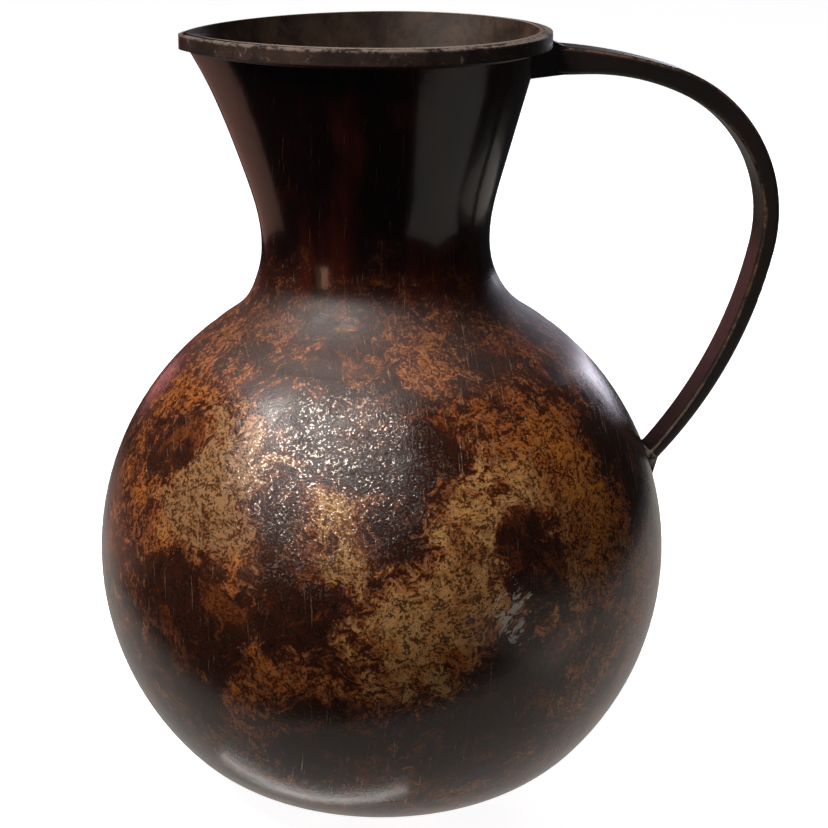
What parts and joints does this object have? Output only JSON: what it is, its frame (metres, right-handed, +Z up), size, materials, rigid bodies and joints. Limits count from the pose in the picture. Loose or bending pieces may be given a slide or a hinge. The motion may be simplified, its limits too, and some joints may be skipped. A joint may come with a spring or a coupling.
{
  "type": "water jug",
  "caption": "Copper water jug with a ball-shaped belly, a narrow waist, a flared mouth pinched into a pouring spout, a banded rim and one bent strap handle.",
  "frame": {"origin": "centre of the flat that the jug stands on", "axes": "+Z up along the jug's axis; +X towards the handle, so the spout is on -X; +Y completes the frame and is square to the plane that the jug is symmetric about"},
  "size_m": [0.2676, 0.222, 0.3017],
  "materials": {
    "belly_copper": "glossy mottled brown patina on copper",
    "neck_copper": "glossy near-black maroon patina on copper",
    "rim_copper": "worn satin brown-grey copper",
    "handle_copper": "dark satin patina on copper",
    "braze": "dull pale brazing metal"
  },
  "bodies": {
    "root": {"bowl": "belly_copper", "belly_seam_braze": "belly_copper", "shoulder": "belly_copper", "neck_seam_braze": "neck_copper", "neck": "neck_copper", "rim_band": "rim_copper", "rim_braze": "rim_copper", "handle": "handle_copper", "upper_handle_braze": "handle_copper", "lower_handle_braze": "braze"}
  },
  "joints": []
}
